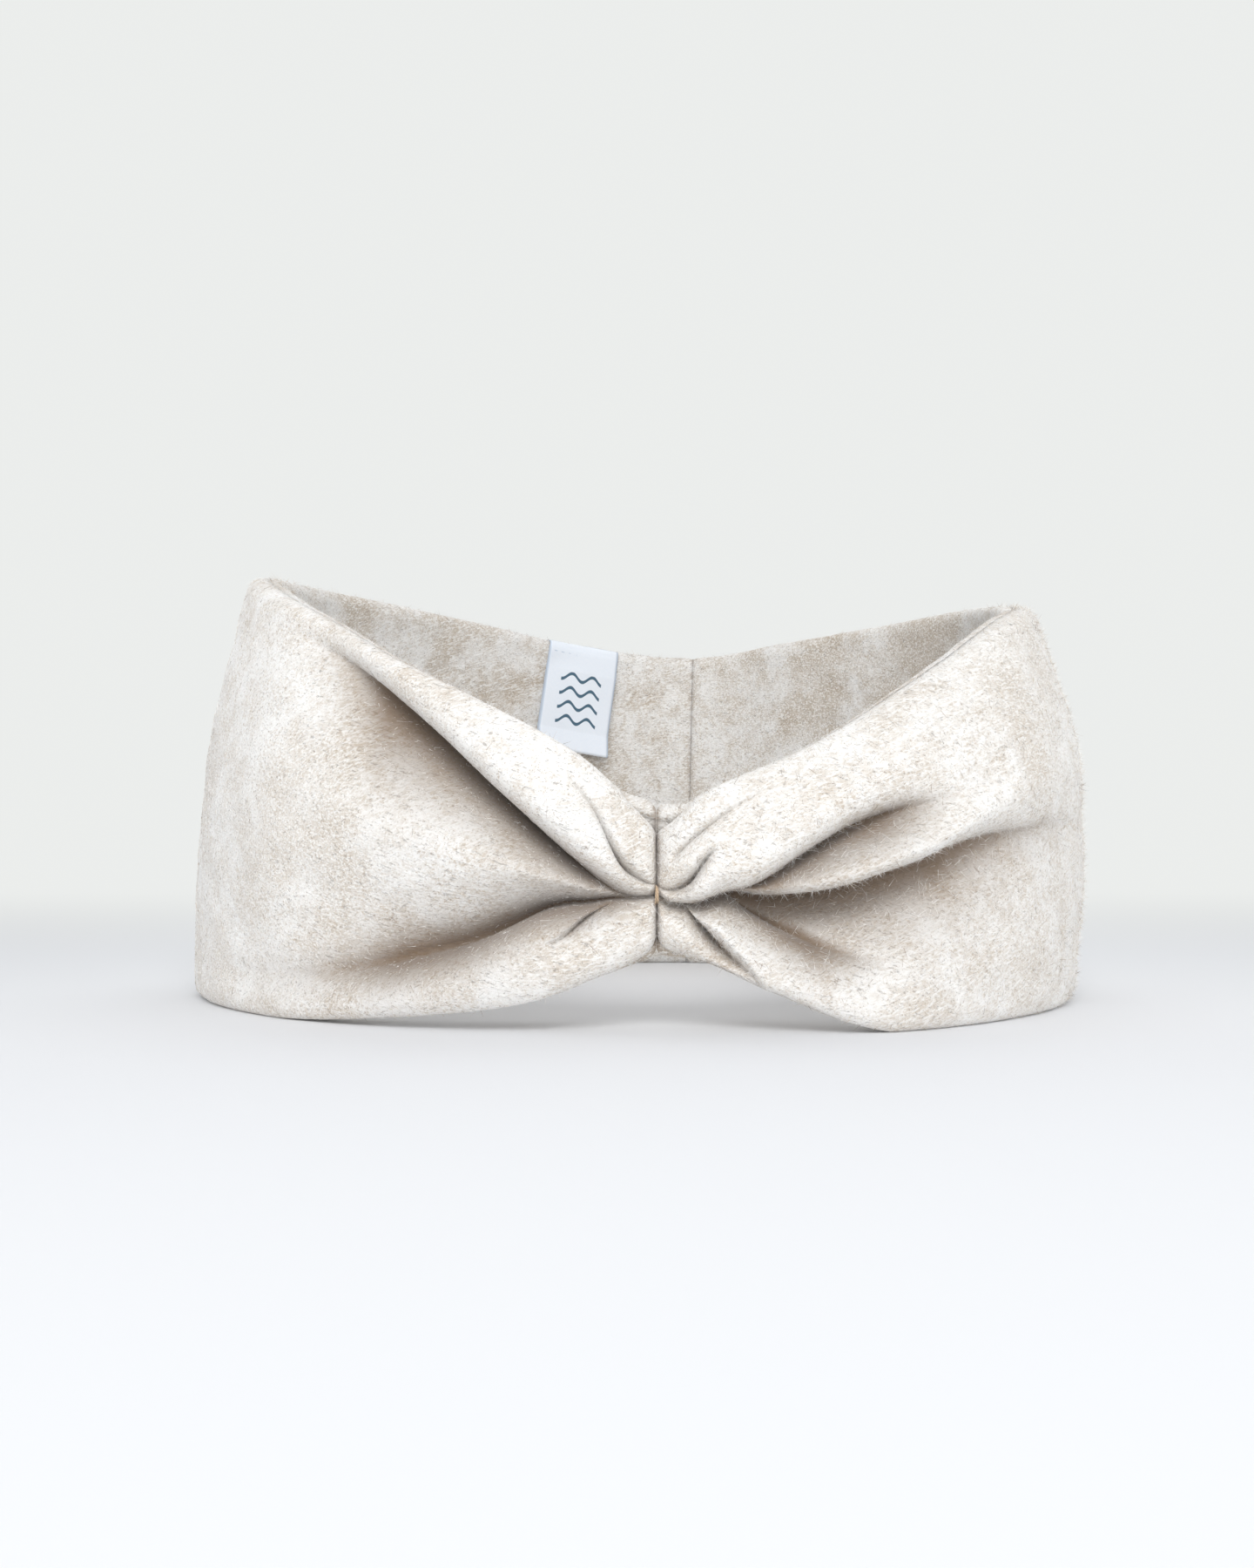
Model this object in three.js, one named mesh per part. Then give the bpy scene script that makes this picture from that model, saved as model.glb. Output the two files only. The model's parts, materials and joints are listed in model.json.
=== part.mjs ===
// Felted-wool headband, standing on its lower edge and gathered at the centre front.
// Two plies of felt (outer and lining) are sewn together along both edges and turned, so that every
// edge is a soft roll. A left and a right half meet at a gathered seam in front and a plain seam
// behind, and a woven loop label hangs inside the back edge.
// Millimetres, +Z up, the gather faces -Y, the wearer's head goes in along Z.
import * as THREE from "three";

// Driving dimensions of the loop, along the middle of its thickness
const LOOP_WIDTH = 200;
const LOOP_DEPTH = 170;
const BAND_HEIGHT = 100;

// Felt, thread and the gaps between them
const FELT_PLY = 3;
const PLY_SPACE = 2.2;
const FOOT_FLAT = 2.2; // half width of the strip that each edge is pressed flat on
const PLY_GAP = 0.4; // between the outer and the lining where they meet at an edge
const THREAD = 0.5;
const CLEARANCE = 0.3;

// The gather at the centre front and the plain seam at the back
const GATHER_HEIGHT = 24;
const GATHER_LIFT = 13;
const GATHER_GAP = 3.4;
const BACK_SEAM_GAP = 1.4;
const TIE_HEIGHT = 5.2;

// The loop label
const LABEL_WIDTH = 22;
const LABEL_LENGTH = 30;
const LABEL_CLOTH = 0.4;
const LABEL_LOOP = 1.9; // thickness of the loop over both plies of ribbon
const LABEL_FROM_SEAM = 35;
const LABEL_BELOW_EDGE = 5.6;

// How the band lies: stations round the loop, anticlockwise from the gather as seen from above.
// Each gives the lower edge and the upper edge as [across, along, up], in shares of half the width,
// half the depth and the height, and then how far the wall bellies out between them in millimetres.
const GATHER_ACROSS = 0.047;
const GATHER_ALONG = -0.953;
const LOW_GATHER = [GATHER_ACROSS, GATHER_ALONG, GATHER_LIFT / BAND_HEIGHT];
const TOP_GATHER = [GATHER_ACROSS, GATHER_ALONG, (GATHER_LIFT + GATHER_HEIGHT) / BAND_HEIGHT];
const STATIONS = [
  [LOW_GATHER, TOP_GATHER, 0],
  [[0.13, -0.982, 0.125], [0.15, -0.976, 0.436], 2],
  [[0.26, -1.012, 0.07], [0.32, -0.906, 0.517], 5],
  [[0.46, -0.976, 0], [0.55, -0.753, 0.66], 8],
  [[0.71, -0.765, 0], [0.77, -0.518, 0.815], 8],
  [[0.91, -0.435, 0], [0.88, -0.224, 0.89], 7],
  [[0.975, 0.012, 0], [0.9, 0.118, 0.95], 7],
  [[0.84, 0.494, 0], [0.78, 0.424, 0.97], 4],
  [[0.52, 0.812, 0], [0.5, 0.741, 0.96], 2],
  [[0.18, 0.988, 0], [0.2, 0.941, 0.94], 1],
  [[-0.17, 0.929, 0], [-0.14, 0.847, 0.96], 2],
  [[-0.51, 0.729, 0], [-0.43, 0.612, 0.99], 3],
  [[-0.83, 0.4, 0], [-0.7, 0.271, 1], 3],
  [[-0.98, -0.024, 0], [-0.84, -0.071, 0.98], 3],
  [[-0.89, -0.4, 0], [-0.8, -0.353, 0.93], 4],
  [[-0.67, -0.729, 0], [-0.68, -0.612, 0.84], 6],
  [[-0.41, -0.906, 0.02], [-0.49, -0.824, 0.726], 7],
  [[-0.19, -0.982, 0.05], [-0.29, -0.941, 0.618], 5],
  [[-0.05, -0.982, 0.1], [-0.09, -0.988, 0.493], 2],
];
const BACK_STATION = 9;

// Fineness of the faceted shapes
const STEPS_PER_STATION = 3;
const WALL_STEPS = 5;
const ROUND_ANGLES = [0, Math.PI / 6, Math.PI / 3, Math.PI / 2];
const THREAD_SIDES = 6;
const SEAM_THREAD_STEPS = 8;
const TIE_STEPS = 24;
const LABEL_ARC_STEPS = 6;

const BAND_THICKNESS = 2 * FELT_PLY + PLY_SPACE;
const EDGE_RADIUS = BAND_THICKNESS / 2;
const THREAD_RADIUS = THREAD / 2;
const UP = new THREE.Vector3(0, 0, 1);

const closedCurve = (points) => new THREE.CatmullRomCurve3(points, true, "catmullrom", 0.5);
const place = ([across, along, up]) =>
  new THREE.Vector3((across * LOOP_WIDTH) / 2, (along * LOOP_DEPTH) / 2, up * BAND_HEIGHT);
const lowerEdge = closedCurve(STATIONS.map(([low]) => place(low)));
const upperEdge = closedCurve(STATIONS.map(([, top]) => place(top)));
const bellies = closedCurve(STATIONS.map(([, , belly]) => new THREE.Vector3(belly, 0, 0)));

const wrap = (u) => u - Math.floor(u);
const stationAt = (index) => index / STATIONS.length;

function lowerPoint(u) {
  const p = lowerEdge.getPoint(wrap(u));
  p.z = Math.max(0, p.z);
  return p;
}

const upperPoint = (u) => upperEdge.getPoint(wrap(u));
const spanAt = (u) => lowerPoint(u).distanceTo(upperPoint(u));
const middlePoint = (u) => lowerPoint(u).lerp(upperPoint(u), 0.5);

// Level direction along the wall, anticlockwise
function along(u) {
  const reach = 1e-3;
  return middlePoint(u + reach).sub(middlePoint(u - reach)).setZ(0).normalize();
}

const outward = (u) => along(u).cross(UP);

// A point of the band at u round the loop, at a depth outward of the middle of its thickness and
// at a height up its wall from the lower edge
function bandPoint(u, depth, height) {
  const share = height / spanAt(u);
  const belly = bellies.getPoint(wrap(u)).x * Math.sin(Math.PI * share);
  return lowerPoint(u).lerp(upperPoint(u), share).addScaledVector(outward(u), depth + belly);
}

// Change of u that moves a given distance along the wall at u
function stepFor(u, distance) {
  const reach = 1e-3;
  return (distance * 2 * reach) / middlePoint(u + reach).distanceTo(middlePoint(u - reach));
}

// One face of a ply as [depth, height] points, from the lower edge to the upper edge
function plyFace(radius, flat, inset, span) {
  const round = ROUND_ANGLES.map((angle) => [
    flat + (radius - flat) * Math.sin(angle),
    inset + radius * (1 - Math.cos(angle)),
  ]);
  const foot = [[PLY_GAP / 2, inset], ...round];
  const low = inset + radius;
  const wall = [];
  for (let i = 1; i < WALL_STEPS; i += 1) {
    wall.push([radius, low + ((span - 2 * low) * i) / WALL_STEPS]);
  }
  const crest = foot.map(([depth, height]) => [depth, span - height]).reverse();
  return [...foot, ...wall, ...crest];
}

// The closed section of a ply: side is 1 for the outer ply and -1 for the lining
function plyRing(u, side) {
  const span = spanAt(u);
  const skin = plyFace(EDGE_RADIUS, FOOT_FLAT, 0, span);
  const hollow = plyFace(PLY_SPACE / 2, PLY_GAP, FELT_PLY, span).reverse();
  const loop = [...skin, ...hollow].map(([depth, height]) => bandPoint(u, side * depth, height));
  return side > 0 ? loop : loop.reverse();
}

// A solid through rings of points that face each other, with a flat cap on each end
function loft(rings) {
  const count = rings[0].length;
  const at = (ring, point) => ring * count + (point % count);
  const faces = [];
  const quad = (a, b, c, d) => faces.push(a, b, c, a, c, d);
  for (let ring = 0; ring + 1 < rings.length; ring += 1) {
    for (let point = 0; point < count; point += 1) {
      quad(at(ring, point), at(ring + 1, point), at(ring + 1, point + 1), at(ring, point + 1));
    }
  }
  const last = rings.length - 1;
  for (let point = 0; point + 1 < count / 2; point += 1) {
    const far = count - 1 - point;
    quad(at(0, point), at(0, point + 1), at(0, far - 1), at(0, far));
    quad(at(last, far), at(last, far - 1), at(last, point + 1), at(last, point));
  }
  const geometry = new THREE.BufferGeometry().setFromPoints(rings.flat());
  geometry.setIndex(faces);
  geometry.computeVertexNormals();
  return geometry;
}

// One ply of one half, between two stations, short of each seam by half its gap
function feltPanel(name, side, first, firstGap, last, lastGap, material) {
  const start = stationAt(first) + stepFor(stationAt(first), firstGap / 2);
  const end = stationAt(last) - stepFor(stationAt(last), lastGap / 2);
  const steps = (last - first) * STEPS_PER_STATION;
  const rings = [];
  for (let i = 0; i <= steps; i += 1) {
    rings.push(plyRing(THREE.MathUtils.lerp(start, end, i / steps), side));
  }
  return named(name, loft(rings), material);
}

function named(name, geometry, material) {
  const mesh = new THREE.Mesh(geometry, material);
  mesh.name = name;
  return mesh;
}

const cloth = (color, roughness) => new THREE.MeshStandardMaterial({ color, roughness, metalness: 0 });

// A curve given by a function of its share from 0 to 1
class RouteCurve extends THREE.Curve {
  constructor(route) {
    super();
    this.route = route;
  }

  getPoint(share, target = new THREE.Vector3()) {
    return target.copy(this.route(share));
  }

  // Steps are even in the share, so that a thread bends where the felt beside it bends
  getUtoTmapping(share) {
    return share;
  }
}

// A thread that closes on itself
const threadRing = (route, steps) =>
  new THREE.TubeGeometry(new RouteCurve(route), steps, THREAD_RADIUS, THREAD_SIDES, true);

// A thread with two ends
function threadRod(route, steps) {
  const section = new THREE.Shape();
  for (let i = 0; i < THREAD_SIDES; i += 1) {
    const angle = (2 * Math.PI * i) / THREAD_SIDES;
    const point = [THREAD_RADIUS * Math.cos(angle), THREAD_RADIUS * Math.sin(angle)];
    if (i === 0) section.moveTo(...point);
    else section.lineTo(...point);
  }
  section.closePath();
  const options = { steps, bevelEnabled: false, extrudePath: new RouteCurve(route) };
  return new THREE.ExtrudeGeometry(section, options);
}

// The closing seams run in the hollow, just inside the roll of each edge, with room for its curve
const EDGE_THREAD_INSET = FELT_PLY + 2 * CLEARANCE + THREAD_RADIUS;

function edgeThread(name, heightAt, material) {
  const route = (share) => bandPoint(share, 0, heightAt(spanAt(wrap(share))));
  return named(name, threadRing(route, STATIONS.length * STEPS_PER_STATION), material);
}

// An upright seam thread at a station, clear of the two edge threads and of the panels beside it
function seamThread(name, station, depth, sideways, material) {
  const u = stationAt(station);
  const inset = EDGE_THREAD_INSET + 2 * THREAD_RADIUS + CLEARANCE;
  const shift = along(u).multiplyScalar(sideways);
  const route = (share) =>
    bandPoint(u, depth, THREE.MathUtils.lerp(inset, spanAt(u) - inset, share)).add(shift);
  return named(name, threadRod(route, SEAM_THREAD_STEPS), material);
}

// Two threads share the gather's gap: the tie on one side of its middle, the seam on the other
const GATHER_SIDESTEP = THREAD_RADIUS + CLEARANCE / 2;

// The tie goes round the gathered felt from front to back
function gatherTie(material) {
  const halfDepth = EDGE_RADIUS + CLEARANCE + THREAD_RADIUS;
  const middle = bandPoint(0, 0, spanAt(0) / 2).addScaledVector(along(0), -GATHER_SIDESTEP);
  const route = (share) => {
    const angle = 2 * Math.PI * share;
    return middle
      .clone()
      .addScaledVector(outward(0), halfDepth * Math.cos(angle))
      .addScaledVector(UP, (TIE_HEIGHT / 2) * Math.sin(angle));
  };
  return named("gather_tie", threadRing(route, TIE_STEPS), material);
}

const LABEL_STATION =
  stationAt(BACK_STATION) + stepFor(stationAt(BACK_STATION), LABEL_FROM_SEAM);

// How far the curved wall stands in front of the flat label's middle at the label's two sides
function wallRise(inward, height) {
  const middle = bandPoint(LABEL_STATION, 0, height);
  const reach = stepFor(LABEL_STATION, LABEL_WIDTH / 2);
  const rises = [-reach, reach].map((step) =>
    bandPoint(LABEL_STATION + step, 0, height).sub(middle).dot(inward),
  );
  return Math.max(0, ...rises);
}

// The label's frame: x into the loop, y up, z across the label, from the middle of its top edge
function labelFrame() {
  const inward = outward(LABEL_STATION).negate();
  const height = spanAt(LABEL_STATION) - LABEL_BELOW_EDGE;
  const depth = -(EDGE_RADIUS + CLEARANCE + wallRise(inward, height) + LABEL_LOOP / 2);
  const across = inward.clone().cross(UP);
  const frame = new THREE.Matrix4().makeBasis(inward, UP, across);
  return frame.setPosition(bandPoint(LABEL_STATION, depth, height));
}

// A ribbon folded into a loop: two plies that hang down and meet in a round fold
function loopLabel(material) {
  const outer = LABEL_LOOP / 2;
  const inner = outer - LABEL_CLOTH;
  const foldAt = -(LABEL_LENGTH - outer);
  const profile = new THREE.Shape();
  profile.moveTo(-outer, 0);
  profile.lineTo(-outer, foldAt);
  profile.absarc(0, foldAt, outer, Math.PI, 2 * Math.PI, false);
  profile.lineTo(outer, 0);
  profile.lineTo(inner, 0);
  profile.lineTo(inner, foldAt);
  profile.absarc(0, foldAt, inner, 2 * Math.PI, Math.PI, true);
  profile.lineTo(-inner, 0);
  profile.closePath();
  const options = { depth: LABEL_WIDTH, bevelEnabled: false, curveSegments: LABEL_ARC_STEPS };
  const geometry = new THREE.ExtrudeGeometry(profile, options);
  geometry.translate(0, 0, -LABEL_WIDTH / 2).applyMatrix4(labelFrame());
  return named("label", geometry, material);
}

// The stitches lie against the lining, just above the label's top edge
function labelStitches(material) {
  const frame = labelFrame();
  const depth = THREAD_RADIUS - LABEL_LOOP / 2;
  const height = CLEARANCE + THREAD_RADIUS;
  const half = LABEL_WIDTH / 2 - 2;
  const route = (share) =>
    new THREE.Vector3(depth, height, THREE.MathUtils.lerp(-half, half, share)).applyMatrix4(frame);
  return named("label_stitches", threadRod(route, SEAM_THREAD_STEPS), material);
}

function headband() {
  const felt = cloth(0xe6e0d6, 0.95);
  const lining = cloth(0xdfd8cd, 0.95);
  const seamThreadCloth = cloth(0xd2c6b4, 0.7);
  const tieThread = cloth(0xb08a62, 0.6);
  const satin = cloth(0xd3deee, 0.4);
  const end = STATIONS.length;
  const plySide = FELT_PLY / 2 + PLY_SPACE / 2;
  const group = new THREE.Group();
  group.add(
    feltPanel("outer_right", 1, 0, GATHER_GAP, BACK_STATION, BACK_SEAM_GAP, felt),
    feltPanel("outer_left", 1, BACK_STATION, BACK_SEAM_GAP, end, GATHER_GAP, felt),
    feltPanel("lining_right", -1, 0, GATHER_GAP, BACK_STATION, BACK_SEAM_GAP, lining),
    feltPanel("lining_left", -1, BACK_STATION, BACK_SEAM_GAP, end, GATHER_GAP, lining),
    edgeThread("top_edge_thread", (span) => span - EDGE_THREAD_INSET, seamThreadCloth),
    edgeThread("bottom_edge_thread", () => EDGE_THREAD_INSET, seamThreadCloth),
    seamThread("front_seam_thread", 0, 0, GATHER_SIDESTEP, seamThreadCloth),
    seamThread("outer_back_seam_thread", BACK_STATION, plySide, 0, seamThreadCloth),
    seamThread("lining_back_seam_thread", BACK_STATION, -plySide, 0, seamThreadCloth),
    gatherTie(tieThread),
    loopLabel(satin),
    labelStitches(seamThreadCloth),
  );
  const box = new THREE.Box3().setFromObject(group, true);
  const middle = box.getCenter(new THREE.Vector3());
  group.position.set(-middle.x, -middle.y, -box.min.z);
  return group;
}

export default headband();
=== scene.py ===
# Felted-wool headband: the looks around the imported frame. Metres, in the frame of the part.
import json
import math

import bmesh
import bpy
import numpy as np
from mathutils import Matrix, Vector
from mathutils.bvhtree import BVHTree


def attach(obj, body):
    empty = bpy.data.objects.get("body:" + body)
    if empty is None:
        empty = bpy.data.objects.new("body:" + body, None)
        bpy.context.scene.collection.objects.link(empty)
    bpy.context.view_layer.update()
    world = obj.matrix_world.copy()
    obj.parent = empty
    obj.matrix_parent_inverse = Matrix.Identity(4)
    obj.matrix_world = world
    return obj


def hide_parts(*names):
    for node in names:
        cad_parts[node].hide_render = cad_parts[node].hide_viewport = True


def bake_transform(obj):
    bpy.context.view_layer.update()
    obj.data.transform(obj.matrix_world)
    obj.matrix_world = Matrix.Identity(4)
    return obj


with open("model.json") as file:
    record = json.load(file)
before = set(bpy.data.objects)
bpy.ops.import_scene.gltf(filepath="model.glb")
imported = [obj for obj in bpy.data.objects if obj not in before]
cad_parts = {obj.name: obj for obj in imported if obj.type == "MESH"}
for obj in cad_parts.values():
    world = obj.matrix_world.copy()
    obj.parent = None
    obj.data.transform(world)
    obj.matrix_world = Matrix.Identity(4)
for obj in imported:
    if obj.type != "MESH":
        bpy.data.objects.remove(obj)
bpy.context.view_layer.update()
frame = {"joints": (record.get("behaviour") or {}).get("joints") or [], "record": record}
MM = 0.001

# ---------------------------------------------------------------- sizes that follow the frame

mounts = {mount["name"]: mount for mount in frame["record"]["mounts"]}
hinge = frame["joints"][0]

HALF_WIDTH = 100 * MM
HALF_DEPTH = 85 * MM
BAND_HEIGHT = 100 * MM
GATHER_LIFT = 13 * MM
GATHER_HEIGHT = 24 * MM
FELT_PLY = 3.0 * MM
PLY_SPACE = 2.2 * MM
EDGE_RADIUS = FELT_PLY + PLY_SPACE / 2

# How the band lies, station by station round the loop from the gather: lower edge, upper edge
# (shares of half width, half depth and height) and how far the wall bellies out, in millimetres
GATHER_ACROSS = 0.047
GATHER_ALONG = -0.953
STATIONS = [
    [(GATHER_ACROSS, GATHER_ALONG, 0.13), (GATHER_ACROSS, GATHER_ALONG, 0.37), 0],
    [(0.13, -0.982, 0.125), (0.15, -0.976, 0.436), 2],
    [(0.26, -1.012, 0.07), (0.32, -0.906, 0.517), 5],
    [(0.46, -0.976, 0), (0.55, -0.753, 0.66), 8],
    [(0.71, -0.765, 0), (0.77, -0.518, 0.815), 8],
    [(0.91, -0.435, 0), (0.88, -0.224, 0.89), 7],
    [(0.975, 0.012, 0), (0.9, 0.118, 0.95), 7],
    [(0.84, 0.494, 0), (0.78, 0.424, 0.97), 4],
    [(0.52, 0.812, 0), (0.5, 0.741, 0.96), 2],
    [(0.18, 0.988, 0), (0.2, 0.941, 0.94), 1],
    [(-0.17, 0.929, 0), (-0.14, 0.847, 0.96), 2],
    [(-0.51, 0.729, 0), (-0.43, 0.612, 0.99), 3],
    [(-0.83, 0.4, 0), (-0.7, 0.271, 1), 3],
    [(-0.98, -0.024, 0), (-0.84, -0.071, 0.98), 3],
    [(-0.89, -0.4, 0), (-0.8, -0.353, 0.93), 4],
    [(-0.67, -0.729, 0), (-0.68, -0.612, 0.84), 6],
    [(-0.41, -0.906, 0.02), (-0.49, -0.824, 0.726), 7],
    [(-0.19, -0.982, 0.05), (-0.29, -0.941, 0.618), 5],
    [(-0.05, -0.982, 0.1), (-0.09, -0.988, 0.493), 2],
]
LOOP = len(STATIONS)
BACK_STATION = 9

# The loop's stations are measured from the gather, whose place the frame gives
GATHER = Vector(mounts["forehead_seat"]["pos_m"])
SHIFT = np.array([
    GATHER.x - GATHER_ACROSS * HALF_WIDTH,
    GATHER.y - EDGE_RADIUS - GATHER_ALONG * HALF_DEPTH,
    0.0,
])

# ---------------------------------------------------------------- the loop as a smooth surface


def catmull(points, k):
    """The closed smooth curve through the stations, at station coordinates k."""
    points = np.asarray(points, float)
    i = np.floor(k).astype(int)
    t = (k - i)[:, None]
    before, here, there, after = (points[(i + step) % LOOP] for step in (-1, 0, 1, 2))
    slope_in, slope_out = (there - before) / 2, (after - here) / 2
    return (here + slope_in * t
            + (3 * (there - here) - 2 * slope_in - slope_out) * t ** 2
            + (2 * (here - there) + slope_in + slope_out) * t ** 3)


SCALE = np.array([HALF_WIDTH, HALF_DEPTH, BAND_HEIGHT])
LOW = np.array([low for low, top, belly in STATIONS]) * SCALE + SHIFT
TOP = np.array([top for low, top, belly in STATIONS]) * SCALE + SHIFT
BELLY = np.array([[belly * MM] for low, top, belly in STATIONS])


def edges(k):
    low, top = catmull(LOW, k), catmull(TOP, k)
    low[:, 2] = np.maximum(low[:, 2], 0)
    return low, top


def outward(k):
    """Level direction out of the wall at k."""
    reach = 0.12
    ahead = sum(edges(k + reach))
    behind = sum(edges(k - reach))
    tangent = ahead - behind
    tangent[:, 2] = 0
    tangent /= np.linalg.norm(tangent, axis=1)[:, None]
    return np.stack([tangent[:, 1], -tangent[:, 0], np.zeros(len(k))], 1)


def smooth_between(x, xs, ys):
    """Values that pass smoothly through (xs, ys) and stay level beyond them."""
    x = np.clip(x, xs[0], xs[-1])
    i = np.clip(np.searchsorted(xs, x, side="right") - 1, 0, len(xs) - 2)
    xs, ys = np.asarray(xs, float), np.asarray(ys, float)
    slopes = np.gradient(ys, xs)
    span = xs[i + 1] - xs[i]
    t = (x - xs[i]) / span
    return ((2 * t ** 3 - 3 * t ** 2 + 1) * ys[i] + (t ** 3 - 2 * t ** 2 + t) * span * slopes[i]
            + (3 * t ** 2 - 2 * t ** 3) * ys[i + 1] + (t ** 3 - t ** 2) * span * slopes[i + 1])


# Creases run out from the tie. Each row: stations from the gather, share of the wall's height there,
# depth, reach above and below, and how far the roll above hangs over it (millimetres). A scoop of 0
# makes the side above or below swell like a pillow, and 1 hollows it out.
CREASES_LEFT = [
    {"scoop": (0.0, 0.55), "rows": [  # under the top roll
        (0, 0.48, 3.5, 2.0, 2.0, 0.2), (0.45, 0.42, 6.0, 4.0, 3.0, 0.4), (0.9, 0.455, 9.0, 7.0, 6.0, 1.2),
        (1.3, 0.535, 15.0, 10.0, 9.0, 2.4), (1.8, 0.66, 20.0, 12.0, 14.0, 3.4),
        (2.2, 0.75, 20.0, 12.0, 18.0, 3.4), (2.7, 0.84, 15.0, 11.0, 24.0, 2.4),
        (3.1, 0.9, 7.0, 9.0, 28.0, 1.2), (3.6, 0.93, 2.0, 8.0, 30.0, 0.3), (4.2, 0.94, 0, 8.0, 30.0, 0)]},
    {"scoop": (0.5, 0.0), "rows": [  # over the bottom roll
        (0, 0.47, 3.5, 2.0, 2.0, 0), (0.5, 0.4, 8.0, 3.0, 4.0, 0), (0.9, 0.355, 12.0, 4.5, 6.0, 0.4),
        (1.4, 0.325, 17.0, 8.0, 8.0, 1.0), (1.7, 0.3, 18.0, 11.0, 9.0, 1.2), (2, 0.26, 17.0, 15.0, 9.5, 1.0),
        (2.4, 0.205, 15.0, 19.0, 10.0, 0.7), (2.9, 0.16, 12.0, 24.0, 10.0, 0.4),
        (3.3, 0.13, 8.0, 27.0, 10.0, 0), (4.2, 0.1, 3.0, 28.0, 10.0, 0), (5, 0.1, 0, 28.0, 10.0, 0)]},
    {"scoop": (0.0, 0.2), "rows": [  # pleat in the top roll
        (0, 0.56, 1.0, 1.8, 1.8, 0), (0.3, 0.555, 4.0, 2.6, 2.6, 0.2), (0.72, 0.63, 5.0, 3.6, 3.6, 0.4),
        (0.9, 0.77, 2.6, 3.6, 3.6, 0.2), (1.1, 0.85, 1.2, 3.4, 3.4, 0), (1.3, 0.92, 0, 3.0, 3.0, 0)]},
    {"scoop": (0.0, 0.2), "rows": [  # pleat in the bottom roll
        (0.5, 0.39, 0, 2.0, 2.0, 0), (0.85, 0.325, 5.0, 2.6, 3.0, 0.3), (1.2, 0.25, 7.0, 3.8, 4.2, 0.7),
        (1.45, 0.19, 3.4, 4.0, 4.4, 0.3), (1.65, 0.17, 0, 4.0, 4.0, 0)]},
]
CREASES_RIGHT = [
    {"scoop": (0.0, 0.3), "rows": [  # under the top roll
        (0, 0.49, 2.0, 1.8, 1.8, 0), (0.5, 0.41, 2.0, 3.0, 2.5, 0.2), (0.97, 0.385, 4.0, 4.0, 3.0, 0.5),
        (1.3, 0.43, 5.0, 6.0, 3.5, 0.8), (1.6, 0.48, 9.0, 8.0, 5.0, 1.2), (1.9, 0.54, 12.0, 10.0, 6.5, 1.8),
        (2.2, 0.585, 14.0, 11.0, 7.5, 2.2), (2.5, 0.62, 13.0, 12.0, 8.0, 2.2),
        (2.8, 0.635, 9.0, 12.0, 9.0, 1.4), (3.1, 0.635, 4.0, 12.0, 10.0, 0.5),
        (3.6, 0.63, 0, 12.0, 12.0, 0)]},
    {"scoop": (0.0, 0.9), "rows": [  # under the middle roll
        (0, 0.48, 3.5, 2.0, 2.0, 0), (0.4, 0.4, 6.0, 2.6, 2.5, 0.2), (0.83, 0.36, 9.0, 3.0, 3.0, 0.5),
        (1.2, 0.39, 14.0, 4.0, 5.0, 1.2), (1.45, 0.41, 17.0, 5.0, 9.0, 2.0),
        (1.75, 0.405, 19.0, 5.5, 13.0, 2.6), (2.3, 0.41, 19.0, 6.5, 17.0, 3.0),
        (2.8, 0.445, 16.0, 7.5, 20.0, 2.6), (3.3, 0.47, 11.0, 8.0, 22.0, 1.8),
        (3.9, 0.46, 6.0, 9.0, 24.0, 1.0), (4.6, 0.45, 2.5, 10.0, 26.0, 0.3), (5.3, 0.45, 0, 10.0, 26.0, 0)]},
    {"scoop": (0.9, 0.0), "rows": [  # over the bottom flap
        (1, 0.42, 0, 3.0, 3.0, 0), (1.25, 0.4, 9.0, 4.0, 4.0, 0.2), (1.55, 0.35, 15.0, 7.0, 6.5, 0.6),
        (1.8, 0.305, 16.0, 11.0, 8.5, 0.8), (2.1, 0.25, 13.0, 15.0, 10.0, 0.6),
        (2.4, 0.21, 9.0, 18.0, 11.0, 0.3), (2.75, 0.19, 4.5, 20.0, 12.0, 0), (3.2, 0.18, 0, 20.0, 12.0, 0)]},
    {"scoop": (0.0, 0.5), "rows": [  # behind the left edge of the bottom flap
        (0, 0.46, 1.0, 1.8, 1.8, 0), (0.17, 0.41, 4.0, 2.4, 2.4, 0.3), (0.68, 0.31, 7.0, 3.4, 4.0, 0.9),
        (0.96, 0.2, 8.0, 4.0, 5.0, 1.2), (1.36, 0.09, 7.0, 4.4, 5.5, 1.0), (1.63, 0.04, 4.5, 4.4, 5.5, 0.5),
        (2, -0.05, 0, 4.0, 5.0, 0)]},
    {"scoop": (0.0, 0.1), "rows": [  # short pleat in the top roll
        (0, 0.545, 1.0, 1.8, 1.8, 0), (0.35, 0.51, 3.5, 2.4, 2.4, 0.2), (0.58, 0.5, 5.5, 3.0, 3.0, 0.6),
        (0.8, 0.53, 7.0, 3.4, 3.4, 0.8), (0.95, 0.6, 4.5, 3.4, 3.4, 0.5), (1.08, 0.66, 0, 3.0, 3.0, 0)]},
    {"scoop": (0.0, 0.0), "rows": [  # thin pleat towards the crest
        (0.4, 0.67, 0, 2.0, 2.0, 0), (0.6, 0.72, 2.0, 2.4, 2.4, 0), (0.85, 0.765, 2.6, 2.8, 2.8, 0),
        (1.1, 0.81, 2.0, 3.0, 3.0, 0), (1.5, 0.875, 1.2, 3.4, 3.4, 0), (1.85, 0.93, 0, 3.4, 3.4, 0)]},
]
LINING_REACH = 9.0  # the least reach of a crease seen from inside, in millimetres
PLUMPNESS = 2.4  # 2 is a round pillow, more is squarer with a tighter crease
SHARP_UNTIL, SOFT_FROM = 1.8, 4.6  # stations from the gather between which a crease softens
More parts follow.
